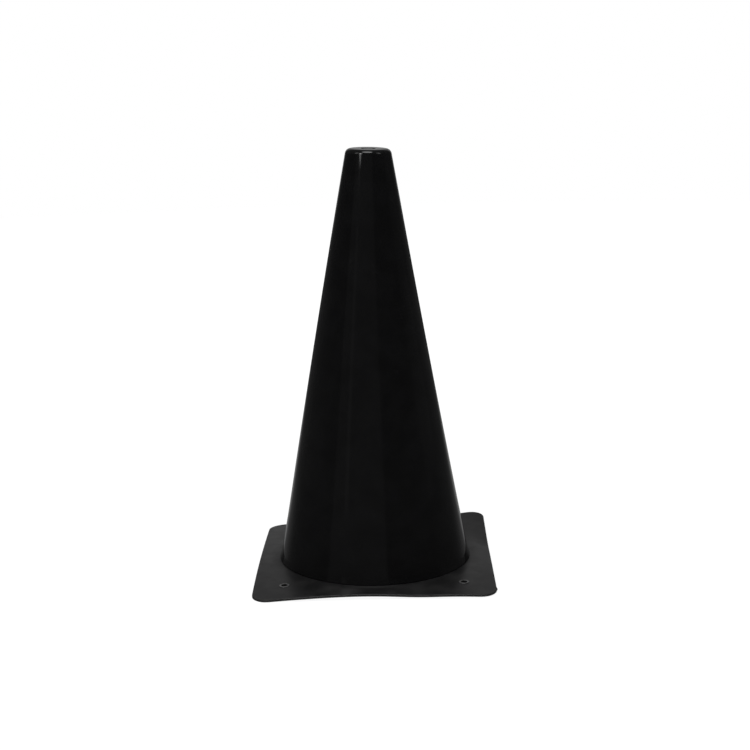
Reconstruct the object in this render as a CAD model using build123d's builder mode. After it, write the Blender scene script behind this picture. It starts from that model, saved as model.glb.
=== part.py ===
from build123d import *
import os
from math import atan, cos, sqrt

# Sports marker cone: a hollow cone shell with a foot flange, and a square base plate pulled over it.
# Millimetres, +Z up, origin on the floor under the cone's axis, front towards -Y.

# Cone shell
cone_height = 380.0  # floor to the middle of the top
foot_radius = 87.7  # outside of the wall, carried on down to the floor
top_radius = 19.7  # outside of the wall, carried on up to the full height
wall_thickness = 2.2
top_thickness = 2.4  # at the middle
top_crown = 0.7  # the middle of the top stands this far over its edge
top_edge_radius = 5.0
mouth_edge_radius = 1.0  # inner edge of the open foot

# Mould marks on the shell
ring_height = 204.0  # witness ring of the mould's split
ring_width = 1.4
ring_proud = 0.25
gate_well_radius = 6.2
gate_well_depth = 1.0
gate_nub_radius = 2.7
gate_nub_height = 1.0

# Foot that carries the plate
flange_overhang = 9.8  # past the foot radius
flange_thickness = 3.4
snap_depth = 0.7  # how far the neck groove goes in behind the wall
plate_clearance = 0.15  # round the neck and under the wall's lower edge

# Base plate
plate_overhang = 9.5  # of each side's middle past the flange
plate_corner_radius = 18.0
plate_thickness = 2.0
plate_edge_chamfer = 0.4
bend_allowance = 2.5  # from the flange's edge to the middle of the plate's bend
bend_radius = 60.0
peg_hole_radius = 2.75
peg_hole_inset = 28.0  # from two edges of the plate to the hole's centre
lip_width = 1.9
lip_height = 0.5  # over the plate on the lip's uphill side
lip_edge_chamfer = 0.3

os.makedirs("parts", exist_ok=True)


def wall_radius(height):
    """Outside of the straight wall at a height above the floor."""
    return foot_radius + (top_radius - foot_radius) * height / cone_height


# The wall leans in by this angle, so a level cut through it is a little wider than its thickness.
wall_lean = atan((foot_radius - top_radius) / cone_height)
wall_level_width = wall_thickness / cos(wall_lean)
inner_top_height = cone_height - top_thickness
shoulder_height = cone_height - top_crown
shoulder_radius = wall_radius(shoulder_height)

flange_radius = foot_radius + flange_overhang
plate_top = flange_thickness + plate_thickness
ledge_height = plate_top + plate_clearance
neck_radius = wall_radius(ledge_height) - snap_depth

with BuildPart() as cone_body:
    with BuildSketch(Plane.XZ) as shell_profile:
        with BuildLine():
            Polyline(
                (foot_radius - wall_level_width, 0),
                (flange_radius, 0),
                (flange_radius, flange_thickness),
                (neck_radius, flange_thickness),
                (neck_radius, ledge_height),
                (wall_radius(ledge_height), ledge_height),
                (shoulder_radius, shoulder_height),
            )
            TangentArc((0, cone_height), (shoulder_radius, shoulder_height), tangent=(1, 0))
            Polyline(
                (0, cone_height),
                (0, inner_top_height),
                (wall_radius(inner_top_height) - wall_level_width, inner_top_height),
                (foot_radius - wall_level_width, 0),
            )
        make_face()
        levels = shell_profile.vertices().group_by(Axis.Y)
        fillet(levels[-2], top_edge_radius)
        fillet(levels[-3].sort_by(Axis.X)[-1], top_edge_radius - wall_thickness)
        fillet(levels[0].sort_by(Axis.X)[0], mouth_edge_radius)
    revolve(axis=Axis.Z)

    # The witness ring is a fine ridge on the wall, rooted inside it.
    ring_bottom = ring_height - ring_width / 2
    ring_top = ring_height + ring_width / 2
    with BuildSketch(Plane.XZ):
        with BuildLine():
            Polyline(
                (wall_radius(ring_bottom), ring_bottom),
                (wall_radius(ring_height) + ring_proud, ring_height),
                (wall_radius(ring_top), ring_top),
                (wall_radius(ring_height) - wall_thickness / 2, ring_height),
                close=True,
            )
        make_face()
    revolve(axis=Axis.Z)

    # The gate mark is a shallow well in the top, with the stub of the gate in it.
    with Locations((0, 0, cone_height)):
        Hole(gate_well_radius, depth=gate_well_depth)
    with BuildSketch(Plane.XY.offset(cone_height - gate_well_depth)):
        Circle(gate_nub_radius)
    extrude(amount=gate_nub_height)

cone_body.part.label = "cone_body"
export_step(cone_body.part, "parts/cone_body.step")

# The plate lies flat on the flange. Past its edge it bends, and slopes down to the floor at the corners.
plate_side = 2 * (flange_radius + plate_overhang)
corner_reach = sqrt(2) * (plate_side / 2 - plate_corner_radius) + plate_corner_radius
bend_place = flange_radius + bend_allowance
plate_slope = flange_thickness / (corner_reach - bend_place)
plate_upright_thickness = plate_thickness * sqrt(1 + plate_slope**2)  # of the sloping part


def plate_under(radius):
    """Underside of the sloping part of the plate at a distance from the cone's axis."""
    return plate_slope * (corner_reach - radius)


peg_hole_place = plate_side / 2 - peg_hole_inset
peg_hole_reach = sqrt(2) * peg_hole_place
lip_radius = peg_hole_radius + lip_width
lip_root = plate_under(peg_hole_reach) + plate_thickness / 2
lip_top = plate_under(peg_hole_reach - lip_radius) + plate_upright_thickness + lip_height

with BuildPart() as base_plate:
    # One quarter of a dished disc reaches past the corner by one thickness, and is trimmed to the square.
    with BuildSketch(Plane.XZ):
        with BuildLine():
            FilletPolyline(
                (0, flange_thickness),
                (bend_place, flange_thickness),
                (corner_reach + plate_thickness, -plate_slope * plate_thickness),
                radius=bend_radius,
            )
            offset(amount=plate_thickness, side=Side.LEFT)
        make_face()
    revolve(axis=Axis.Z, revolution_arc=90)
    with BuildSketch(Plane.XY.offset(-plate_thickness)):
        RectangleRounded(plate_side, plate_side, plate_corner_radius)
    extrude(amount=plate_top + 2 * plate_thickness, mode=Mode.INTERSECT)
    corner_face = base_plate.faces().filter_by(GeomType.CYLINDER)[0]
    chamfer(corner_face.edges().sort_by(Axis.Z)[-1], plate_edge_chamfer)

    # A raised lip stands round the peg hole near the corner.
    with BuildSketch(Plane.XY.offset(lip_root)):
        with Locations((peg_hole_place, peg_hole_place)):
            Circle(lip_radius)
    extrude(amount=lip_top - lip_root)
    lip_edge = base_plate.edges().filter_by(GeomType.CIRCLE).sort_by(SortBy.RADIUS)[0]
    chamfer(lip_edge, lip_edge_chamfer)
    with Locations((peg_hole_place, peg_hole_place)):
        Hole(peg_hole_radius)

    # The other quarters mirror this one, and the cone's neck passes through the middle.
    mirror(about=Plane.YZ)
    mirror(about=Plane.XZ)
    Hole(neck_radius + plate_clearance)

base_plate.part.label = "base_plate"
export_step(base_plate.part, "parts/base_plate.step")
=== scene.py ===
import math
from collections import namedtuple

import bmesh
import bpy
from bpy.props import FloatProperty, FloatVectorProperty, IntProperty, PointerProperty
from bpy.types import Operator, Panel, PropertyGroup
from mathutils import Matrix, Vector


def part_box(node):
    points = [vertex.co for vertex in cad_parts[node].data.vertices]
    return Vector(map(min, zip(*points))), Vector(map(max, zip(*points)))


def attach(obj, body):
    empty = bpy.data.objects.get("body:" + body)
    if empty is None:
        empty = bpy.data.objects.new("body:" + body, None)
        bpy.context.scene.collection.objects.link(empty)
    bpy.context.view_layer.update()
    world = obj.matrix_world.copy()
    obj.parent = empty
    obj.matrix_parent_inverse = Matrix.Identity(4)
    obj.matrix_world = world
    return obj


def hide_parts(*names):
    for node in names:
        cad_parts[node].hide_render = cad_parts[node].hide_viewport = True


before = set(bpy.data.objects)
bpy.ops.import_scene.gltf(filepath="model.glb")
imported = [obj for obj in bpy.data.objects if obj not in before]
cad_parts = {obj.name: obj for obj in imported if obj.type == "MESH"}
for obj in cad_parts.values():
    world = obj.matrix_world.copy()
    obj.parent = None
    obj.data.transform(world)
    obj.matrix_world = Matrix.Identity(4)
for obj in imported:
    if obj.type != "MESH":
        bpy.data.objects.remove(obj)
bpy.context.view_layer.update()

bl_info = {
    "name": "Sports marker cone",
    "version": (1, 0, 0),
    "blender": (4, 5, 0),
    "location": "View3D > Sidebar > Marker cone",
    "description": "Dresses a moulded marker cone and its base plate, and lights them in a plain studio",
    "category": "Object",
}

SHELL_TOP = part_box("cone_body")[1].z
FLANGE_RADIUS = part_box("cone_body")[1].x
PLATE_SIDE = 2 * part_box("base_plate")[1].x


# Sizes and colours

def length(name, description, default):
    return FloatProperty(
        name=name, description=description, default=default, min=0.0, precision=5, subtype="DISTANCE"
    )


def angle(name, description, degrees):
    return FloatProperty(name=name, description=description, default=math.radians(degrees), subtype="ANGLE")


def power(name, description, default):
    return FloatProperty(name=name, description=description, default=default, min=0.0, unit="POWER")


def level(name, description, default):
    return FloatProperty(name=name, description=description, default=default, min=0.0, precision=4)


def colour(name, description, default):
    return FloatVectorProperty(
        name=name, description=description, default=default, min=0.0, max=1.0, subtype="COLOR"
    )


class ShellSettings(PropertyGroup):
    """Sizes and colour of the cone's shell"""

    height: length("Height", "Floor to the middle of the top", SHELL_TOP)
    foot_radius: length("Foot radius", "Outside of the wall, carried on down to the floor", 0.08793)
    top_radius: length("Top radius", "Outside of the wall, carried on up to the full height", 0.01993)
    wall: length("Wall", "Thickness of the wall", 0.0022)
    lid: length("Lid", "Thickness of the top", 0.0024)
    top_rounding: length("Top rounding", "Radius of the edge of the top", 0.005)
    ring_height: length("Ring height", "Floor to the witness ring of the mould", 0.204)
    ring_width: length("Ring width", "Height of the witness ring along the wall", 0.0014)
    ring_proud: length("Ring proud", "How far the witness ring stands out", 0.00009)
    well_radius: length("Gate well radius", "Radius of the shallow well in the top", 0.0065)
    well_depth: length("Gate well depth", "Depth of the well", 0.001)
    nub_radius: length("Gate nub radius", "Radius of the gate's stub in the well", 0.0045)
    nub_height: length("Gate nub height", "Height of the stub over the well's floor", 0.001)
    flange_radius: length("Flange radius", "Outside of the foot flange under the plate", FLANGE_RADIUS)
    flange: length("Flange", "Thickness of the foot flange", 0.0034)
    ledge_height: length("Ledge height", "Floor to the lower edge of the wall over the plate", 0.00555)
    snap_depth: length("Snap depth", "How far the neck goes in behind the wall", 0.00093)
    flare: length("Flare", "How far the lower wall spreads towards its foot", 0.0008)
    flare_reach: length("Flare reach", "Height of the flare over the ledge", 0.06)
    turn_out: length("Turn-out", "How far the very foot of the wall turns out", 0.0007)
    turn_out_reach: length("Turn-out reach", "Height of the turn-out over the ledge", 0.007)
    lean: length("Lean", "How far the top stands off the axis, as cooled", 0.00294)
    bow: length("Bow", "How far the axis bows the other way", 0.00107)
    tip_front: angle("Tip to the front", "How far the closed top tips towards the front", 2.2)
    tip_right: angle("Tip to the right", "How far the closed top tips to the right", 0.8)
    tip_reach: length("Tip reach", "Length of the shell below the top that tips with it", 0.035)
    columns: IntProperty(name="Columns", description="Faces round the axis", default=320, min=24)
    colour: colour("Colour", "Black of the moulding", (0.0035, 0.0035, 0.0037))


class PlateSettings(PropertyGroup):
    """Sizes and colour of the base plate"""

    side: length("Side", "Across the square plate", PLATE_SIDE)
    corner_radius: length("Corner radius", "Radius of each corner in plan", 0.0157)
    sheet: length("Sheet", "Thickness of the plate", 0.002)
    upper_rounding: length("Upper rounding", "Radius of the outer edge on top", 0.0007)
    lower_rounding: length("Lower rounding", "Radius of the outer edge underneath", 0.0003)
    neck_hole_radius: length("Neck hole radius", "Hole that the cone's neck passes through", 0.086157)
    seat_radius: length("Seat radius", "Flat part that rests on the flange", FLANGE_RADIUS)
    seat_height: length("Seat height", "Floor to the underside on the flange", 0.0034)
    collar_rise: length("Collar rise", "How far the plate stands up round the neck", 0.0009)
    collar_tilt: length("Collar tilt", "How much more on the left, and less on the right", 0.0008)
    collar_reach: length("Collar reach", "How far out from the neck the plate stands up", 0.018)
    peg_hole_radius: length("Peg hole radius", "Radius of the hole near each corner", 0.00275)
    peg_hole_inset: length("Peg hole inset", "From two edges of the plate to a hole's centre", 0.028)
    lip_width: length("Lip width", "Width of the raised lip round a hole", 0.0019)
    lip_height: length("Lip height", "Height of the lip over the plate", 0.00045)
    front_right_lift: length("Front right lift", "Curl of that corner off the floor", 0.0009)
    rear_right_lift: length("Rear right lift", "Curl of that corner off the floor", 0.0102)
    rear_left_lift: length("Rear left lift", "Curl of that corner off the floor", 0.0)
    front_left_lift: length("Front left lift", "Curl of that corner off the floor", 0.0)
    front_rise: length("Front rise", "Wave of the front edge, left of the middle", 0.0005)
    front_sag: length("Front sag", "Wave of the front edge, right of the middle", 0.0009)
    cut_forward: length("Cut forward", "How far the front left corner is cut too long", 0.0017)
    cut_in: length("Cut in", "How far the front left corner is cut too narrow", 0.0007)
    burr: length("Burr", "Trimming burr on the front right corner", 0.0006)
    colour: colour("Colour", "Black of the sheet", (0.0125, 0.0125, 0.0129))


class StudioSettings(PropertyGroup):
    """Floor, lights, room and camera"""

    floor_radius: length("Floor radius", "Radius of the pale floor", 4.0)
    floor_colour: colour("Floor colour", "Pale floor, lit from above", (0.16, 0.16, 0.16))
    floor_glow: level("Floor glow", "Light that the floor gives by itself, as a light table does", 0.93)
    overhead_power: power("Overhead", "Wide soft light over the floor", 45.0)
    left_strip_power: power("Left strip", "Narrow soft strip high to the camera's left", 1.95)
    left_lamp_power: power("Left lamp", "Small soft lamp in the upper part of that strip", 1.2)
    left_line_power: power("Left line", "Foot of that strip, much dimmer", 0.01)
    low_bank_power: power("Low bank", "Dim broad bank low in front", 0.35)
    front_bank_power: power("Front bank", "Soft bank high in front", 6.5)
    side_bank_power: power("Side banks", "Dim bank high on each side", 0.8)
    right_bank_power: power("Right bank", "Dim broad bank to the camera's right", 0.045)
    room: level("Room", "Brightness of the room all round", 0.034)
    room_low: level("Room low", "Brightness of the room at the horizon", 0.044)
    backdrop_foot: level("Backdrop foot", "Brightness of the backdrop at the horizon", 0.31)
    backdrop_low: level("Backdrop low", "Brightness of the backdrop a little up", 0.247)
    backdrop_high: level("Backdrop high", "Brightness of the backdrop well up", 0.05)
    under: level("Under", "Brightness of the room below the horizon", 0.105)
    under_behind: level("Under behind", "Brightness below the horizon behind the cone", 0.26)
    camera_distance: length("Camera distance", "From the cone's axis, level", 1.26361)
    camera_height: length("Camera height", "Over the floor", 0.4345)
    camera_swing: angle("Camera swing", "Round the cone's axis from the front", 1.1387)
    camera_pan: angle("Camera pan", "Turn away from the axis", -0.1807)
    camera_pitch: angle("Camera pitch", "Tilt down", 11.5635)
    camera_roll: angle("Camera roll", "Turn about the line of sight", -1.4084)
    camera_lens: FloatProperty(name="Lens", description="Focal length", default=68.017, unit="CAMERA")


# Mesh helpers

MERGE_DISTANCE = 1e-7


def spaced(start, end, steps):
    """Values spaced evenly between two others, without the ends."""
    return [start + (end - start) * step / steps for step in range(1, steps)]


def eased(share):
    """A share kept between 0 and 1, with a soft start and a soft end."""
    share = min(max(share, 0.0), 1.0)
    return share * share * (3 - 2 * share)


def swell(x, place, width):
    """A smooth wave of height 1 about a place."""
    return math.exp(-(((x - place) / width) ** 2))


def rounded(corners, steps=8):
    """Follows a run of (radius, height, rounding) corners, turning each rounded corner into a short arc."""
    path = []
    for index, (radius, height, rounding) in enumerate(corners):
        here = Vector((radius, height))
        if not rounding:
            path.append(here)
            continue
        back = (Vector(corners[index - 1][:2]) - here).normalized()
        ahead = (Vector(corners[index + 1][:2]) - here).normalized()
        half = back.angle(ahead) / 2
        centre = here + (back + ahead).normalized() * (rounding / math.sin(half))
        reach = rounding / math.tan(half)
        start = (here + back * reach - centre).normalized()
        end = (here + ahead * reach - centre).normalized()
        path += [centre + start.slerp(end, step / steps) * rounding for step in range(steps + 1)]
    return path


def bridge(bm, inner, outer):
    """Joins two closed rows of vertices with quads."""
    for index in range(len(inner)):
        after = (index + 1) % len(inner)
        bm.faces.new((inner[index], inner[after], outer[after], outer[index]))


def turned(profile, columns):
    """Turns a profile of (radius, height) points about the cone's axis."""
    bm = bmesh.new()
    turns = [2 * math.pi * column / columns for column in range(columns)]
    rows = [
        [bm.verts.new((point.x * math.cos(turn), point.x * math.sin(turn), point.y)) for turn in turns]
        for point in profile
    ]
    for row, next_row in zip(rows, rows[1:]):
        bridge(bm, row, next_row)
    return bm


def finish_mesh(name, bm, sharp_degrees):
    """Closes a piece's mesh: outward normals, even smooth shading, and sharp edges where it turns hard."""
    bmesh.ops.remove_doubles(bm, verts=bm.verts, dist=MERGE_DISTANCE)
    bmesh.ops.recalc_face_normals(bm, faces=bm.faces)
    for face in bm.faces:
        face.smooth = True
    mesh = bpy.data.meshes.new(name)
    bm.to_mesh(mesh)
    bm.free()
    mesh.set_sharp_from_angle(angle=math.radians(sharp_degrees))
    piece = bpy.data.objects.new(name, mesh)
    bpy.context.scene.collection.objects.link(piece)
    shading = piece.modifiers.new("Even shading", "WEIGHTED_NORMAL")
    shading.keep_sharp = True
    shading.weight = 100
    return piece


# Cone shell

SHELL_SHARP_DEGREES = 50
TOP_ROWS_REACH = 0.75  # the rows of the flat top reach this share of its radius


def shell_profile(size):
    """The cone's section: gate stub and well, flat top, wall with its ring, neck, flange and inside."""
    slope = (size.foot_radius - size.top_radius) / size.height

    def wall(height):
        return size.foot_radius - slope * height

    level_wall = size.wall * math.hypot(1, slope)
    well_floor = size.height - size.well_depth
    nub_top = well_floor + size.nub_height
    ceiling = size.height - size.lid
    rim = wall(size.height)
    ring_low = size.ring_height - size.ring_width / 2
    ring_high = size.ring_height + size.ring_width / 2
    flare_top = size.ledge_height + size.flare_reach
    turn_top = size.ledge_height + size.turn_out_reach
    neck = wall(size.ledge_height) - size.snap_depth
    fine = size.nub_height / 4

    def foot(height):
        spread_out = size.flare * ((flare_top - height) / size.flare_reach) ** 2
        turned_out = size.turn_out * (max(turn_top - height, 0.0) / size.turn_out_reach) ** 2
        return wall(height) + spread_out + turned_out

    return rounded([
        (0.0, nub_top, 0),
        (size.nub_radius, nub_top, fine),
        (size.nub_radius, well_floor, fine),
        (size.well_radius, well_floor, fine),
        (size.well_radius, size.height, fine),
        *((radius, size.height, 0) for radius in spaced(size.well_radius, TOP_ROWS_REACH * rim, steps=4)),
        (rim, size.height, size.top_rounding),
        *((wall(height), height, 0) for height in spaced(size.height, ring_high, steps=10)),
        (wall(ring_high), ring_high, size.ring_width / 2),
        (wall(size.ring_height) + size.ring_proud, size.ring_height, size.ring_width / 2),
        (wall(ring_low), ring_low, size.ring_width / 2),
        *((wall(height), height, 0) for height in spaced(ring_low, flare_top, steps=9)),
        *((foot(height), height, 0) for height in spaced(flare_top, turn_top, steps=12)),
        *((foot(height), height, 0) for height in spaced(turn_top, size.ledge_height, steps=8)),
        (foot(size.ledge_height), size.ledge_height, size.snap_depth / 3),
        (neck, size.ledge_height, 0),
        (neck, size.flange, 0),
        (size.flange_radius, size.flange, size.snap_depth / 2),
        (size.flange_radius, 0.0, size.snap_depth / 2),
        (size.foot_radius - level_wall, 0.0, size.wall / 2),
        *((wall(height) - level_wall, height, 0) for height in spaced(0.0, ceiling, steps=22)),
        (wall(ceiling) - level_wall, ceiling, size.top_rounding - size.wall),
        (0.0, ceiling, 0),
    ])


def collar(plate, x):
    """How far the plate stands up at the cone's neck."""
    return plate.collar_rise - plate.collar_tilt * x / plate.neck_hole_radius


def warp_shell(bm, size, plate):
    """Bends the shell off its axis and tips its top, as a thin moulding does when it cools.

    The ledge and the lower wall follow the plate's collar, and the foot stays flat.
    """
    front = math.tan(size.tip_front)
    right = math.tan(size.tip_right)
    ledge_band = size.snap_depth / size.flare_reach
    for vert in bm.verts:
        over = (vert.co.z - size.ledge_height) / size.flare_reach
        if -ledge_band < over < 1:
            vert.co.z += collar(plate, vert.co.x) * (1 - max(over, 0.0)) ** 2
        share = vert.co.z / size.height
        slope = (size.lean + 4 * size.bow * (2 * share - 1)) / size.height
        tip = eased((vert.co.z - size.height + size.tip_reach) / (size.tip_reach - size.top_rounding))
        vert.co.z += (vert.co.y * front - vert.co.x * right) * tip - vert.co.x * slope * share
        vert.co.x += size.lean * share + 4 * size.bow * (share - 1) * share


# Base plate

PLATE_SHARP_DEGREES = 40
PLATE_ROWS = 28  # from the neck hole out to the edge
EDGE_STEPS = 6  # in the upper rounding of the edge, and half as many in the lower one
DROOP_BEND = 1.2  # power by which the plate droops past the flange
CURL_START = 0.6  # share of the way out to a corner where its curl begins
CURL_BEND = 1.4  # power by which a curl grows
CUT_START = 0.5  # share of the way out to the corner where its careless cut begins
FRONT_RISE_PLACE = -0.02  # along the front edge, from its middle
FRONT_RISE_WIDTH = 0.04
FRONT_SAG_PLACE = 0.04
FRONT_SAG_WIDTH = 0.026
HOLE_PATCH = 0.0085  # each way from a peg hole's centre, out along the diagonal
LIP_FOOT = 1.6  # the patch is level up to this many lip widths from the bore
LIP_TOE = 1.25  # and has begun to rise at this many
LIP_TOE_RISE = 0.03  # by this share of the lip's height
BEAD_STEPS = 10
BEAD_BASE = 0.1  # share of the lip's height where its round bead begins
BORE_EASE = 0.12  # rounding of the bore's lower edge, in lip widths

# A ring round a peg hole. It is drawn in from the patch's outline to its circle by the blend,
# stands at a rise over the underside, and is level rather than sloping by the share named even.
HoleRing = namedtuple("HoleRing", ("blend", "radius", "rise", "even"))


class PlatePlan:
    """Where each point of the base plate lies: its outline in plan, its peg holes and its underside."""

    def __init__(self, size, side_steps=48, corner_steps=18):
        self.size = size
        self.corner_steps = corner_steps
        self.pitch = side_steps + corner_steps
        middle = size.side / 2 - size.corner_radius
        self.reach = math.sqrt(2) * middle + size.corner_radius
        self.edge = []
        self.outward = []
        for turn in range(4):
            towards = Matrix.Rotation(turn * math.pi / 2, 2)
            for step in range(corner_steps):
                swing = math.pi / 2 * step / corner_steps
                out = Vector((math.cos(swing), math.sin(swing)))
                self.edge.append(towards @ (Vector((middle, middle)) + out * size.corner_radius))
                self.outward.append(towards @ out)
            for step in range(side_steps):
                along = middle - 2 * middle * step / side_steps
                self.edge.append(towards @ Vector((along, size.side / 2)))
                self.outward.append(towards @ Vector((0.0, 1.0)))
        for index, spot in enumerate(self.edge):
            near = self.nearness(spot, -1, -1, CUT_START)
            self.edge[index] = spot + Vector((size.cut_in, -size.cut_forward)) * near**2
        front_right = 3 * self.pitch + corner_steps
        self.edge[front_right] = self.edge[front_right] + self.outward[front_right] * size.burr
        place = size.side / 2 - size.peg_hole_inset
        self.holes = [Matrix.Rotation(turn * math.pi / 2, 2) @ Vector((place, place)) for turn in range(4)]

    def nearness(self, spot, x, y, start):
        """How near a point is to the corner on the side (x, y): 0 up to the start, and 1 at the corner."""
        share = (x * spot.x + y * spot.y) / (math.sqrt(2) * self.reach)
        return max(share - start, 0.0) / (1 - start)

    def inset(self, distance):
        """The outline, drawn in by a distance."""
        return [spot - out * distance for spot, out in zip(self.edge, self.outward)]

    def underside(self, spot):
        """Height of the underside: flat on the flange, up at the neck, drooping further out, and uneven."""
        size = self.size
        run = max(spot.length - size.seat_radius, 0.0) / (self.reach - size.seat_radius)
        height = size.seat_height * (1.0 - run**DROOP_BEND)
        near = max(1 - (spot.length - size.neck_hole_radius) / size.collar_reach, 0.0)
        height += collar(size, spot.x) * near**2
        curls = (
            (1, 1, size.rear_right_lift),
            (-1, 1, size.rear_left_lift),
            (-1, -1, size.front_left_lift),
            (1, -1, size.front_right_lift),
        )
        for x, y, lift in curls:
            height += lift * self.nearness(spot, x, y, CURL_START) ** CURL_BEND
        hang = max(-spot.y - size.neck_hole_radius, 0.0) / (size.side / 2 - size.neck_hole_radius)
        rise = size.front_rise * swell(spot.x, FRONT_RISE_PLACE, FRONT_RISE_WIDTH)
        sag = size.front_sag * swell(spot.x, FRONT_SAG_PLACE, FRONT_SAG_WIDTH)
        return max(height + hang**2 * (rise - sag), 0.0)

    def row(self, bm, spots, rise):
        """A row of vertices over plan points, at a rise over the underside."""
        return [bm.verts.new((spot.x, spot.y, self.underside(spot) + rise)) for spot in spots]


def upper_hole_rings(size):
    """Rings round a peg hole in the upper face, from its patch's outline in over the lip to the bore."""
    bore = size.peg_hole_radius
    foot = bore + size.lip_width * LIP_FOOT
    rings = [HoleRing(blend, foot, size.sheet, 0.0) for blend in (0.3, 0.65, 1.0)]
    toe_rise = size.sheet + size.lip_height * LIP_TOE_RISE
    rings.append(HoleRing(1.0, bore + size.lip_width * LIP_TOE, toe_rise, 0.0))
    for step in range(BEAD_STEPS + 1):
        turn = math.pi * step / BEAD_STEPS
        up = BEAD_BASE + (1 - BEAD_BASE) * math.sin(turn)
        out = ((1 + math.cos(turn)) / 2) ** 2
        rings.append(HoleRing(1.0, bore + size.lip_width * out, size.sheet + size.lip_height * up, up))
    rings.append(HoleRing(1.0, bore, size.sheet, 0.0))
    return rings


def lower_hole_rings(size):
    """Rings round a peg hole in the lower face, from its patch's outline in to the bore."""
    bore = size.peg_hole_radius
    foot = bore + size.lip_width * LIP_FOOT
    ease = size.lip_width * BORE_EASE
    rings = [HoleRing(blend, foot, 0.0, 0.0) for blend in (0.35, 0.7, 1.0)]
    rings.append(HoleRing(1.0, bore + ease, 0.0, 0.0))
    rings.append(HoleRing(1.0, bore, ease, 0.0))
    return rings


def plate_face(bm, plan, rise, rows, hole_rings):
    """One broad face of the plate, from the neck hole to the outline, with a patch round each peg hole."""
    size = plan.size
    outer = plan.inset(size.upper_rounding)
    inner = [spot.normalized() * size.neck_hole_radius for spot in outer]
    diagonal = plan.reach - size.upper_rounding - size.neck_hole_radius
    hole_share = (plan.holes[0].length - size.neck_hole_radius) / diagonal
    patch = HOLE_PATCH / diagonal
    first = math.floor((hole_share - patch) * rows)
    last = math.ceil((hole_share + patch) * rows)

    def in_patch(column, row, margin):
        return first + margin <= row < last and margin <= column % plan.pitch < plan.corner_steps

    spots = [[low.lerp(high, row / rows) for low, high in zip(inner, outer)] for row in range(rows + 1)]
    grid = [
        [
            None if in_patch(column, row, 1) else bm.verts.new((spot.x, spot.y, plan.underside(spot) + rise))
            for column, spot in enumerate(line)
        ]
        for row, line in enumerate(spots)
    ]
    count = len(outer)
    for row, (line, next_line) in enumerate(zip(grid, grid[1:])):
        for column in range(count):
            if in_patch(column, row, 0):
                continue
            after = (column + 1) % count
            bm.faces.new((line[column], line[after], next_line[after], next_line[column]))
    hole_edges = []
    for turn, hole in enumerate(plan.holes):
        start = turn * plan.pitch
        end = start + plan.corner_steps
        loop = [(first, column) for column in range(start, end)]
        loop += [(row, end) for row in range(first, last)]
        loop += [(last, column) for column in range(end, start, -1)]
        loop += [(row, start) for row in range(last, first, -1)]
        ring = [grid[row][column % count] for row, column in loop]
        outline = [spots[row][column % count] for row, column in loop]
        rays = [(spot - hole).normalized() for spot in outline]
        for hole_ring in hole_rings:
            circle = [hole + ray * hole_ring.radius for ray in rays]
            ring_spots = [spot.lerp(on_circle, hole_ring.blend) for spot, on_circle in zip(outline, circle)]
            next_ring = plan.row(bm, ring_spots, hole_ring.rise)
            for vert in next_ring:
                vert.co.z += (plan.underside(hole) + hole_ring.rise - vert.co.z) * hole_ring.even
            bridge(bm, ring, next_ring)
            ring = next_ring
        hole_edges.append(ring)
    return grid[0], grid[-1], hole_edges


def plate_mesh(size):
    """The square base plate as a thin dished sheet with rounded edges and lipped peg holes."""
    plan = PlatePlan(size)
    bm = bmesh.new()
    upper_neck, upper_edge, upper_holes = plate_face(bm, plan, size.sheet, PLATE_ROWS, upper_hole_rings(size))
    lower_neck, lower_edge, lower_holes = plate_face(bm, plan, 0.0, PLATE_ROWS, lower_hole_rings(size))
    bridge(bm, upper_neck, lower_neck)
    for upper, lower in zip(upper_holes, lower_holes):
        bridge(bm, upper, lower)
    ring = upper_edge
    for step in range(1, EDGE_STEPS + 1):
        turn = math.pi / 2 * step / EDGE_STEPS
        outline = plan.inset(size.upper_rounding * (1 - math.sin(turn)))
        row = plan.row(bm, outline, size.sheet - size.upper_rounding * (1 - math.cos(turn)))
        bridge(bm, ring, row)
        ring = row
    for step in range(EDGE_STEPS // 2 + 1):
        turn = math.pi / EDGE_STEPS * step
        outline = plan.inset(size.lower_rounding * (1 - math.cos(turn)))
        row = plan.row(bm, outline, size.lower_rounding * (1 - math.sin(turn)))
        bridge(bm, ring, row)
        ring = row
    bridge(bm, ring, lower_edge)
    return bm


# Node helpers

NODES_IN_A_ROW = 8
NODE_WIDTH = 220
NODE_DEPTH = 260
IN_PLAN = (1.0, 1.0, 0.0)  # multiplied with a place, leaves out its height
WHITE = (1.0, 1.0, 1.0, 1.0)


def add_node(tree, kind, inputs=None, **settings):
    """Adds a shader node. An input given a socket is linked to it, and any other value is set."""
    made = tree.nodes.new(kind)
    row, column = divmod(len(tree.nodes), NODES_IN_A_ROW)
    made.location = (NODE_WIDTH * column, -NODE_DEPTH * row)
    for name, value in settings.items():
        setattr(made, name, value)
    for name, value in (inputs or {}).items():
        if isinstance(value, bpy.types.NodeSocket):
            tree.links.new(value, made.inputs[name])
        else:
            made.inputs[name].default_value = value
    return made


def maths(tree, operation, first, second=0.0):
    return add_node(tree, "ShaderNodeMath", {0: first, 1: second}, operation=operation).outputs[0]


def vector_maths(tree, operation, first, second=(0.0, 0.0, 0.0)):
    made = add_node(tree, "ShaderNodeVectorMath", {0: first, 1: second}, operation=operation)
    return made.outputs["Value" if operation == "LENGTH" else "Vector"]


def spread(tree, value, low, high, to_low=0.0, to_high=1.0):
    """Stretches the part of a value between low and high over another range."""
    inputs = {"Value": value, "From Min": low, "From Max": high, "To Min": to_low, "To Max": to_high}
    return add_node(tree, "ShaderNodeMapRange", inputs, interpolation_type="SMOOTHSTEP").outputs["Result"]


def noise(tree, vector, scale, detail):
    inputs = {"Vector": vector, "Scale": scale, "Detail": detail}
    return add_node(tree, "ShaderNodeTexNoise", inputs).outputs["Fac"]


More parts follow.
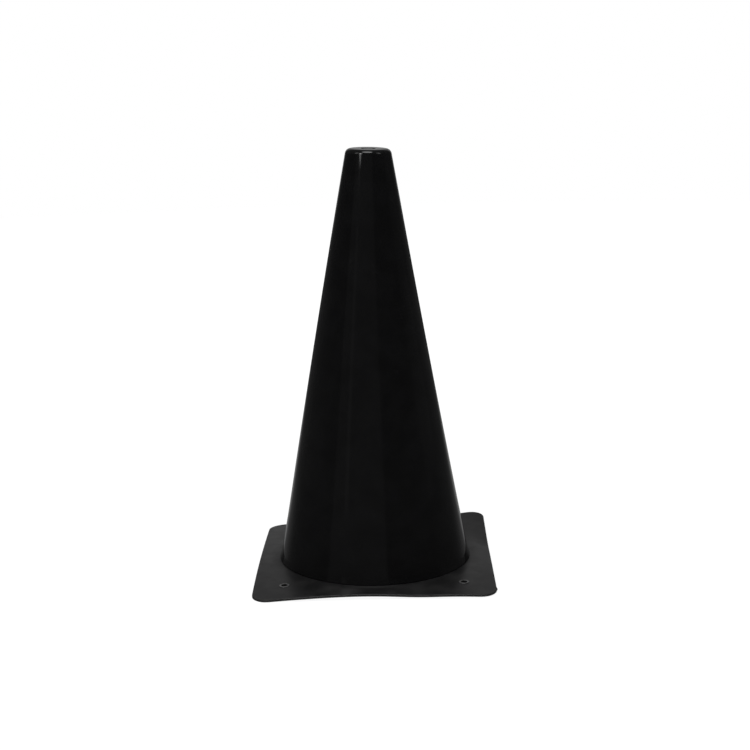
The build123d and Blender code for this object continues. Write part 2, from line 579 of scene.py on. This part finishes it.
def mixed_colour(tree, share, first, second):
    return add_node(tree, "ShaderNodeMix", {0: share, 6: first, 7: second}, data_type="RGBA").outputs[2]


def shaded(tint, share):
    """A tint made deeper or paler, as a shader's colour."""
    return (*(share * part for part in tint), 1.0)


def parts_of(tree, vector):
    """The X, Y and Z of a vector."""
    return add_node(tree, "ShaderNodeSeparateXYZ", {"Vector": vector}).outputs


def place_on_piece(tree):
    """Where on its piece a point lies, in metres."""
    return add_node(tree, "ShaderNodeTexCoord").outputs["Object"]


def new_material(name):
    """A material with nothing in its node tree yet."""
    material = bpy.data.materials.new(name)
    material.use_nodes = True
    material.node_tree.nodes.clear()
    return material


def new_group(name, inputs, outputs):
    """A shader group with number sockets; inputs give their defaults."""
    tree = bpy.data.node_groups.new(name, "ShaderNodeTree")
    for label, default in inputs.items():
        socket = tree.interface.new_socket(label, in_out="INPUT", socket_type="NodeSocketFloat")
        socket.default_value = default
    for label in outputs:
        tree.interface.new_socket(label, in_out="OUTPUT", socket_type="NodeSocketFloat")
    return tree, tree.nodes.new("NodeGroupInput").outputs


# Effects that both finishes use

DRAW_STRETCH = (1.0, 1.0, 0.03)  # draws a noise out along the cone's height
SCUFF_STRETCH = (1.0, 0.05, 1.0)
SCUFF_SLANT = (0.5, 0.9, 0.3)


def moulded_grain():
    """Fine skin, broad ripple and draw marks of a moulded black plastic."""
    name = "Moulded grain"
    if name in bpy.data.node_groups:
        return bpy.data.node_groups[name]
    inputs = {"Grain": 1500.0, "Ripple": 30.0, "Draw marks": 0.3, "Mark scale": 520.0, "Patches": 55.0}
    tree, given = new_group(name, inputs, ("Height", "Tone"))
    place = place_on_piece(tree)
    drawn = add_node(tree, "ShaderNodeMapping", {"Vector": place, "Scale": DRAW_STRETCH}).outputs[0]
    skin = noise(tree, place, given["Grain"], 3.0)
    ripple = noise(tree, place, given["Ripple"], 1.0)
    marks = maths(tree, "MULTIPLY", noise(tree, drawn, given["Mark scale"], 2.0), given["Draw marks"])
    fine = maths(tree, "ADD", maths(tree, "MULTIPLY", skin, 0.25), marks)
    height = maths(tree, "ADD", fine, ripple)
    patches = spread(tree, noise(tree, place, given["Patches"], 5.0), 0.35, 0.65)
    tone = maths(tree, "ADD", maths(tree, "MULTIPLY", patches, 0.7), marks)
    add_node(tree, "NodeGroupOutput", {"Height": height, "Tone": tone})
    return tree


def handling_wear():
    """Hairline scuffs, and dust that lies on what faces up."""
    name = "Handling wear"
    if name in bpy.data.node_groups:
        return bpy.data.node_groups[name]
    inputs = {
        "Scuff scale": 60.0, "Scuff width": 0.004, "Scuffed patches": 24.0,
        "Dust": 1.0, "Film": 90.0, "Specks": 1300.0,
    }
    tree, given = new_group(name, inputs, ("Scuffs", "Dust"))
    place = place_on_piece(tree)
    slanted = add_node(
        tree, "ShaderNodeMapping", {"Vector": place, "Rotation": SCUFF_SLANT, "Scale": SCUFF_STRETCH}
    ).outputs[0]
    wander = maths(tree, "SUBTRACT", noise(tree, slanted, given["Scuff scale"], 2.0), 0.5)
    off_line = maths(tree, "ABSOLUTE", wander)
    hairline = maths(tree, "SUBTRACT", 1.0, spread(tree, off_line, 0.0, given["Scuff width"]))
    scuffed = spread(tree, noise(tree, place, given["Scuffed patches"], 2.0), 0.52, 0.66)
    scuffs = maths(tree, "MULTIPLY", hairline, scuffed)
    facing = add_node(tree, "ShaderNodeNewGeometry").outputs["Normal"]
    settled = spread(tree, parts_of(tree, facing)["Z"], 0.75, 1.0)
    film = spread(tree, noise(tree, place, given["Film"], 6.0), 0.4, 0.75)
    specks = spread(tree, noise(tree, place, given["Specks"], 1.0), 0.68, 0.76)
    loose = maths(tree, "ADD", maths(tree, "MULTIPLY", film, 0.5), specks)
    dust = maths(tree, "MULTIPLY", maths(tree, "MULTIPLY", settled, loose), given["Dust"])
    add_node(tree, "NodeGroupOutput", {"Scuffs": scuffs, "Dust": dust})
    return tree


def rubbed_and_highlit_edges():
    """Patchy rubbing, with painted highlight, where an edge is near."""
    name = "Rubbed edges"
    if name in bpy.data.node_groups:
        return bpy.data.node_groups[name]
    tree, given = new_group(name, {"Nearness": 0.0, "Patches": 160.0}, ("Rubbing and highlight",))
    broad = spread(tree, noise(tree, place_on_piece(tree), given["Patches"], 4.0), 0.25, 0.7, 0.4, 1.0)
    add_node(tree, "NodeGroupOutput", {"Rubbing and highlight": maths(tree, "MULTIPLY", given["Nearness"], broad)})
    return tree


def hollow_dirt_and_shade():
    """Dull dirt, with painted shade, in hollows: darker and rougher there."""
    name = "Hollow grime"
    if name in bpy.data.node_groups:
        return bpy.data.node_groups[name]
    tree, given = new_group(name, {"Hollow": 0.0, "Patches": 300.0}, ("Dirt and shade",))
    thick = spread(tree, noise(tree, place_on_piece(tree), given["Patches"], 3.0), 0.2, 0.6, 0.7, 1.0)
    add_node(tree, "NodeGroupOutput", {"Dirt and shade": maths(tree, "MULTIPLY", given["Hollow"], thick)})
    return tree


# Finishes

PLASTIC_IOR = 1.5
DEEP = 0.8  # of the plastic's own tint, as are the next two
PALE = 1.25
SCRAPED = 3.5
# Pale grey of rubbing; it also paints highlights on the peg holes' lips, the plate's outline and the top's
# rounding.
RUBBED_AND_HIGHLIGHT_COLOUR = (0.14, 0.14, 0.14, 1.0)
# Near-black of dirt; it also paints shade in the peg holes' bores, the crease at the neck and the gate well.
DIRT_AND_SHADE_COLOUR = (0.003, 0.003, 0.003, 1.0)
DUST_COLOUR = (0.11, 0.105, 0.1, 1.0)
SCUFF_SHARE = 0.6
SCUFF_ROUGHNESS = 0.12  # added to the plastic's own
GRIME_ROUGHNESS = 0.5
# Share of the dark colour on the gate's stub: dirt and painted shade.
STUB_DIRT_AND_SHADE = 0.25
# Share of the pale colour on the plate's outline: rubbing and painted highlight.
RIM_RUBBING_AND_HIGHLIGHT = 0.11
# Share of the dark colour in the crease round the neck: painted shadow.
CREASE_SHADOW = 0.18
CREASE_REACH = 0.75  # of the collar's reach


def black_plastic(
    name, tint, places, grain, wear, edge_rub_and_highlight_share, dust_share, rough, rough_more, bump, bump_depth
):
    """Black moulded polyethylene: near-black body, uneven sheen, scuffs, paler edges from rubbing and painted
    highlight, darker hollows from dirt and painted shade, and dust.
    """
    material = new_material(name)
    tree = material.node_tree

    def effect(group, values):
        return add_node(tree, "ShaderNodeGroup", values, node_tree=group).outputs

    skin = effect(moulded_grain(), grain)
    worn = effect(handling_wear(), wear)
    edge, hollow = places(tree)
    rubbed_and_highlit = effect(rubbed_and_highlit_edges(), {"Nearness": edge})["Rubbing and highlight"]
    dirt_and_shade = effect(hollow_dirt_and_shade(), {"Hollow": hollow})["Dirt and shade"]
    tone = skin["Tone"]
    scuffs = worn["Scuffs"]
    body = mixed_colour(tree, tone, shaded(tint, DEEP), shaded(tint, PALE))
    body = mixed_colour(tree, maths(tree, "MULTIPLY", scuffs, SCUFF_SHARE), body, shaded(tint, SCRAPED))
    # Paler edges: rubbing, and painted highlight.
    body = mixed_colour(tree, maths(tree, "MULTIPLY", rubbed_and_highlit, edge_rub_and_highlight_share), body, RUBBED_AND_HIGHLIGHT_COLOUR)
    # Darker hollows: dirt, and painted shade.
    body = mixed_colour(tree, dirt_and_shade, body, DIRT_AND_SHADE_COLOUR)
    body = mixed_colour(tree, maths(tree, "MULTIPLY", worn["Dust"], dust_share), body, DUST_COLOUR)
    sheen = spread(tree, tone, 0.0, 1.0, rough, rough + rough_more)
    sheen = maths(tree, "ADD", sheen, maths(tree, "MULTIPLY", scuffs, SCUFF_ROUGHNESS))
    sheen = maths(tree, "ADD", sheen, maths(tree, "MULTIPLY", dirt_and_shade, GRIME_ROUGHNESS))
    raised = {"Height": skin["Height"], "Strength": bump, "Distance": bump_depth}
    relief = add_node(tree, "ShaderNodeBump", raised).outputs["Normal"]
    plastic = {"Base Color": body, "Roughness": sheen, "Normal": relief, "IOR": PLASTIC_IOR}
    surface = add_node(tree, "ShaderNodeBsdfPrincipled", plastic).outputs[0]
    add_node(tree, "ShaderNodeOutputMaterial", {"Surface": surface})
    return material


def shell_finish(size):
    """Glossy black of the cone."""

    def places(tree):
        """The rounded edge of the top, paler from rubbing and painted highlight; and the floor of the gate
        well with the cut stub in it, darker from dirt and painted shade.
        """
        place = vector_maths(tree, "SUBTRACT", place_on_piece(tree), (size.lean, 0.0, 0.0))
        height = parts_of(tree, place)["Z"]
        out = vector_maths(tree, "LENGTH", vector_maths(tree, "MULTIPLY", place, IN_PLAN))
        at_top = spread(tree, height, size.height - size.top_rounding, size.height - size.top_rounding / 2)
        flat = size.top_radius - size.top_rounding
        edge = maths(tree, "MULTIPLY", at_top, spread(tree, out, flat - size.wall / 4, flat + size.wall / 2))
        from_floor = maths(tree, "ABSOLUTE", maths(tree, "SUBTRACT", height, size.height - size.well_depth))
        low = spread(tree, from_floor, 0.4 * size.well_depth, 0.65 * size.well_depth, 1.0, 0.0)
        stub = spread(tree, out, 0.8 * size.nub_radius, size.nub_radius, STUB_DIRT_AND_SHADE, 0.0)
        in_well = spread(tree, out, size.well_radius, size.well_radius + size.well_depth / 4, 1.0, 0.0)
        hollow = maths(tree, "MULTIPLY", maths(tree, "MAXIMUM", low, stub), in_well)
        return edge, maths(tree, "MULTIPLY", hollow, at_top)

    return black_plastic(
        "Cone shell black", size.colour, places,
        grain={"Grain": 1500.0, "Ripple": 26.0, "Draw marks": 0.35},
        wear={"Scuff scale": 55.0, "Scuff width": 0.004, "Dust": 0.7},
        edge_rub_and_highlight_share=0.035, dust_share=0.03, rough=0.045, rough_more=0.025, bump=0.02, bump_depth=0.0004,
    )


def sheet_finish(size):
    """Satin black of the base plate."""

    def places(tree):
        """The peg holes' lips and, less, the outline, paler from painted highlight and rubbing; and the bores
        and, less, the crease at the neck, darker from painted shade.
        """
        quarter = vector_maths(tree, "ABSOLUTE", place_on_piece(tree))
        quarter = vector_maths(tree, "MULTIPLY", quarter, IN_PLAN)
        hole = size.side / 2 - size.peg_hole_inset
        from_hole = vector_maths(tree, "LENGTH", vector_maths(tree, "SUBTRACT", quarter, (hole, hole, 0.0)))
        bore = size.peg_hole_radius
        lip = bore + size.lip_width
        past_bore = spread(tree, from_hole, bore, bore + size.lip_height)
        within_lip = spread(tree, from_hole, lip - size.lip_height, lip, 1.0, 0.0)
        on_lip = maths(tree, "MULTIPLY", past_bore, within_lip)
        middle = size.side / 2 - size.corner_radius
        past = vector_maths(tree, "SUBTRACT", quarter, (middle, middle, 0.0))
        out = vector_maths(tree, "LENGTH", vector_maths(tree, "MAXIMUM", past))
        rim = size.corner_radius - size.upper_rounding
        on_rim = spread(tree, out, rim - size.upper_rounding, rim + size.upper_rounding / 2, 0.0, RIM_RUBBING_AND_HIGHLIGHT)
        # Painted shade in the bores and, less, painted shadow in the crease at the neck.
        bore_shade = spread(tree, from_hole, bore, bore + size.lip_height / 4, 1.0, 0.0)
        from_neck = maths(tree, "SUBTRACT", vector_maths(tree, "LENGTH", quarter), size.neck_hole_radius)
        crease_shadow = spread(tree, from_neck, 0.0, CREASE_REACH * size.collar_reach, CREASE_SHADOW, 0.0)
        return maths(tree, "MAXIMUM", on_lip, on_rim), maths(tree, "MAXIMUM", bore_shade, crease_shadow)

    return black_plastic(
        "Base sheet black", size.colour, places,
        grain={"Grain": 1100.0, "Ripple": 45.0, "Draw marks": 0.05},
        wear={"Scuff scale": 75.0, "Scuff width": 0.006, "Dust": 1.0},
        edge_rub_and_highlight_share=0.9, dust_share=0.14, rough=0.32, rough_more=0.1, bump=0.2, bump_depth=0.0004,
    )


# Studio

FLOOR_SIDES = 96
# Inside the smaller square the floor's glow is left out, a painted shadow under the plate.
FLOOR_SHADOW_SQUARES = (0.08, 0.1)  # half sides of two squares under the plate, between which the glow sets in
FLOOR_RUN_OUT = (0.25, 0.8)  # distances from the cone over which the floor turns plain white
FLOOR_SPECKLE = 320.0
FLOOR_SPECKLE_SHADE = 0.97
LIGHT_AIM = Vector((0.0, 0.0, 0.25))

# Ramps of the room's brightness, by the sine of the height over the horizon
BACKDROP_FOOT = (0.1, 0.25)
BACKDROP_FADE = (0.35, 0.7)
BACKDROP_START = (-0.05, 0.0)
HAZE = (0.0, 0.12)
BELOW = (-0.22, -0.13)

# Sides of the backdrop, by the cosine of the way round from straight behind the cone
BACKDROP_SIDES = (0.84, 0.96)


def floor_finish(tint, glow):
    """Pale matt floor that glows a little, left dark under the plate as painted shadow, and runs out into
    plain white away from the cone.
    """
    material = new_material("Pale floor")
    tree = material.node_tree
    place = place_on_piece(tree)
    sides = parts_of(tree, vector_maths(tree, "ABSOLUTE", place))
    # Painted shadow: no glow under the plate.
    unshadowed_floor = spread(tree, maths(tree, "MAXIMUM", sides["X"], sides["Y"]), *FLOOR_SHADOW_SQUARES)
    away = spread(tree, vector_maths(tree, "LENGTH", place), *FLOOR_RUN_OUT, glow, 1.0)
    glow_and_shadow = maths(tree, "MULTIPLY", unshadowed_floor, away)
    speckle = spread(tree, noise(tree, place, FLOOR_SPECKLE, 3.0), 0.3, 0.7)
    shade = mixed_colour(tree, speckle, shaded(tint, FLOOR_SPECKLE_SHADE), shaded(tint, 1.0))
    matt = add_node(tree, "ShaderNodeBsdfDiffuse", {"Color": shade, "Roughness": 0.5}).outputs[0]
    table = add_node(tree, "ShaderNodeEmission", {"Color": WHITE, "Strength": glow_and_shadow}).outputs[0]
    both = add_node(tree, "ShaderNodeAddShader", {0: matt, 1: table}).outputs[0]
    add_node(tree, "ShaderNodeOutputMaterial", {"Surface": both})
    return material


def add_floor(settings):
    """The pale floor. The pieces mirror the room below the horizon in its place."""
    bm = bmesh.new()
    bmesh.ops.create_circle(bm, cap_ends=True, segments=FLOOR_SIDES, radius=settings.floor_radius)
    mesh = bpy.data.meshes.new("studio_floor")
    bm.to_mesh(mesh)
    bm.free()
    mesh.materials.append(floor_finish(settings.floor_colour, settings.floor_glow))
    floor = bpy.data.objects.new("studio_floor", mesh)
    bpy.context.scene.collection.objects.link(floor)
    floor.visible_glossy = False


def add_soft_light(name, swing, lift, distance, wide, tall, watts, mirrored=True, shape="RECTANGLE"):
    """A soft light, so many degrees round from the front and up from level, that faces the cone."""
    swing = math.radians(swing)
    lift = math.radians(lift)
    away = Vector((math.sin(swing) * math.cos(lift), -math.cos(swing) * math.cos(lift), math.sin(lift)))
    data = bpy.data.lights.new(name, "AREA")
    data.shape = shape
    data.size = wide
    data.size_y = tall
    data.energy = watts
    lamp = bpy.data.objects.new(name, data)
    bpy.context.scene.collection.objects.link(lamp)
    lamp.location = LIGHT_AIM + away * distance
    lamp.rotation_euler = away.to_track_quat("Z", "Y").to_euler()
    lamp.visible_camera = False
    lamp.visible_glossy = mirrored


def add_lights(settings):
    """Lights from above, from the left, from the front and from both sides, in that order."""
    add_soft_light(
        "overhead_soft_light", swing=0, lift=80, distance=2.6, wide=3.2, tall=3.2,
        watts=settings.overhead_power, mirrored=False,
    )
    add_soft_light(
        "left_strip_light", swing=-39, lift=37.35, distance=1.7, wide=0.27, tall=1.0,
        watts=settings.left_strip_power,
    )
    add_soft_light(
        "left_lamp_light", swing=-44, lift=42, distance=1.6, wide=0.2, tall=0.5,
        watts=settings.left_lamp_power,
    )
    add_soft_light(
        "left_line_light", swing=-36, lift=6, distance=1.7, wide=0.16, tall=0.6,
        watts=settings.left_line_power,
    )
    add_soft_light(
        "low_bank_light", swing=-20, lift=12, distance=1.9, wide=2.8, tall=1.3,
        watts=settings.low_bank_power,
    )
    add_soft_light(
        "front_bank_light", swing=-6, lift=78, distance=1.7, wide=0.9, tall=0.8,
        watts=settings.front_bank_power, shape="ELLIPSE",
    )
    for side, swing in (("left", -68), ("right", 66)):
        add_soft_light(
            f"{side}_side_bank_light", swing=swing, lift=45, distance=1.7, wide=0.4, tall=0.6,
            watts=settings.side_bank_power,
        )
    add_soft_light(
        "right_bank_light", swing=97, lift=12, distance=1.9, wide=1.0, tall=1.3,
        watts=settings.right_bank_power,
    )


def add_surround(settings):
    """The room: plain white to the camera, and a dim soft gradient to what it lights or is mirrored in."""
    world = bpy.data.worlds.new("Studio surround")
    world.use_nodes = True
    tree = world.node_tree
    tree.nodes.clear()
    towards = add_node(tree, "ShaderNodeTexCoord").outputs["Generated"]
    height = parts_of(tree, towards)["Z"]
    upper = spread(tree, height, *BACKDROP_FADE, settings.backdrop_low, settings.backdrop_high)
    foot = spread(tree, height, *BACKDROP_FOOT, settings.backdrop_foot - settings.backdrop_low, 0.0)
    backdrop = maths(tree, "ADD", upper, foot)
    level_way = vector_maths(tree, "NORMALIZE", vector_maths(tree, "MULTIPLY", towards, IN_PLAN))
    behind = spread(tree, parts_of(tree, level_way)["Y"], *BACKDROP_SIDES)
    haze = spread(tree, height, *HAZE, settings.room_low, settings.room)
    under = spread(tree, behind, 0.0, 1.0, settings.under, settings.under_behind)
    low = spread(tree, height, *BELOW, under, haze)
    on_backdrop = maths(tree, "MULTIPLY", behind, spread(tree, height, *BACKDROP_START))
    room = add_node(tree, "ShaderNodeMix", {0: on_backdrop, 2: low, 3: backdrop}).outputs[0]
    dim = add_node(tree, "ShaderNodeBackground", {"Color": WHITE, "Strength": room}).outputs[0]
    plain = add_node(tree, "ShaderNodeBackground", {"Color": WHITE, "Strength": 1.0}).outputs[0]
    seen = add_node(tree, "ShaderNodeLightPath").outputs["Is Camera Ray"]
    both = add_node(tree, "ShaderNodeMixShader", {0: seen, 1: dim, 2: plain}).outputs[0]
    add_node(tree, "ShaderNodeOutputWorld", {"Surface": both})
    bpy.context.scene.world = world


def add_camera(settings):
    """The camera, at the angle of the photograph."""
    data = bpy.data.cameras.new("studio_camera")
    data.sensor_width = 36.0
    data.lens = settings.camera_lens
    camera = bpy.data.objects.new("studio_camera", data)
    bpy.context.scene.collection.objects.link(camera)
    swing = settings.camera_swing
    stand = Vector((math.sin(swing), -math.cos(swing), 0.0)) * settings.camera_distance
    stand.z = settings.camera_height
    camera.matrix_world = (
        Matrix.Translation(stand)
        @ Matrix.Rotation(swing + settings.camera_pan, 4, "Z")
        @ Matrix.Rotation(math.pi / 2 - settings.camera_pitch, 4, "X")
        @ Matrix.Rotation(settings.camera_roll, 4, "Z")
    )
    bpy.context.scene.camera = camera


# Operators and panel

def seat(piece, finish, node):
    """Gives a piece its finish and puts it in place of its solid."""
    piece.data.materials.append(finish)
    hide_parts(node)
    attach(piece, "root")


class MARKER_OT_shell(Operator):
    """Turn the cone's section into the moulded shell"""

    bl_idname = "marker_cone.shell"
    bl_label = "Cone shell"

    def execute(self, context):
        size = context.scene.marker_shell
        bm = turned(shell_profile(size), size.columns)
        warp_shell(bm, size, context.scene.marker_plate)
        piece = finish_mesh("cone_moulding", bm, SHELL_SHARP_DEGREES)
        seat(piece, shell_finish(size), "cone_body")
        return {"FINISHED"}


class MARKER_OT_plate(Operator):
    """Build the dished square plate with its lipped peg holes"""

    bl_idname = "marker_cone.plate"
    bl_label = "Base plate"

    def execute(self, context):
        size = context.scene.marker_plate
        piece = finish_mesh("base_sheet_plate", plate_mesh(size), PLATE_SHARP_DEGREES)
        seat(piece, sheet_finish(size), "base_plate")
        return {"FINISHED"}


class MARKER_OT_studio(Operator):
    """Lay the pale floor and set the soft lights, the surround and the camera"""

    bl_idname = "marker_cone.studio"
    bl_label = "Studio"

    def execute(self, context):
        settings = context.scene.marker_studio
        add_floor(settings)
        add_surround(settings)
        add_lights(settings)
        add_camera(settings)
        view = context.scene.view_settings
        view.view_transform = "Standard"
        view.look = "None"
        return {"FINISHED"}


class MARKER_PT_panel(Panel):
    """Lists the cone's pieces, their sizes and the studio"""

    bl_idname = "MARKER_PT_panel"
    bl_label = "Marker cone"
    bl_space_type = "VIEW_3D"
    bl_region_type = "UI"
    bl_category = "Marker cone"

    def draw(self, context):
        scene = context.scene
        groups = (
            (MARKER_OT_shell, scene.marker_shell),
            (MARKER_OT_plate, scene.marker_plate),
            (MARKER_OT_studio, scene.marker_studio),
        )
        for maker, settings in groups:
            box = self.layout.box()
            box.operator(maker.bl_idname)
            for name in settings.__annotations__:
                box.prop(settings, name)


classes = (
    ShellSettings,
    PlateSettings,
    StudioSettings,
    MARKER_OT_shell,
    MARKER_OT_plate,
    MARKER_OT_studio,
    MARKER_PT_panel,
)


def register():
    for kind in classes:
        bpy.utils.register_class(kind)
    bpy.types.Scene.marker_shell = PointerProperty(type=ShellSettings)
    bpy.types.Scene.marker_plate = PointerProperty(type=PlateSettings)
    bpy.types.Scene.marker_studio = PointerProperty(type=StudioSettings)


def unregister():
    del bpy.types.Scene.marker_studio
    del bpy.types.Scene.marker_plate
    del bpy.types.Scene.marker_shell
    for kind in reversed(classes):
        bpy.utils.unregister_class(kind)


def main():
    register()
    bpy.ops.marker_cone.shell()
    bpy.ops.marker_cone.plate()
    bpy.ops.marker_cone.studio()


if __name__ == "__main__":
    main()
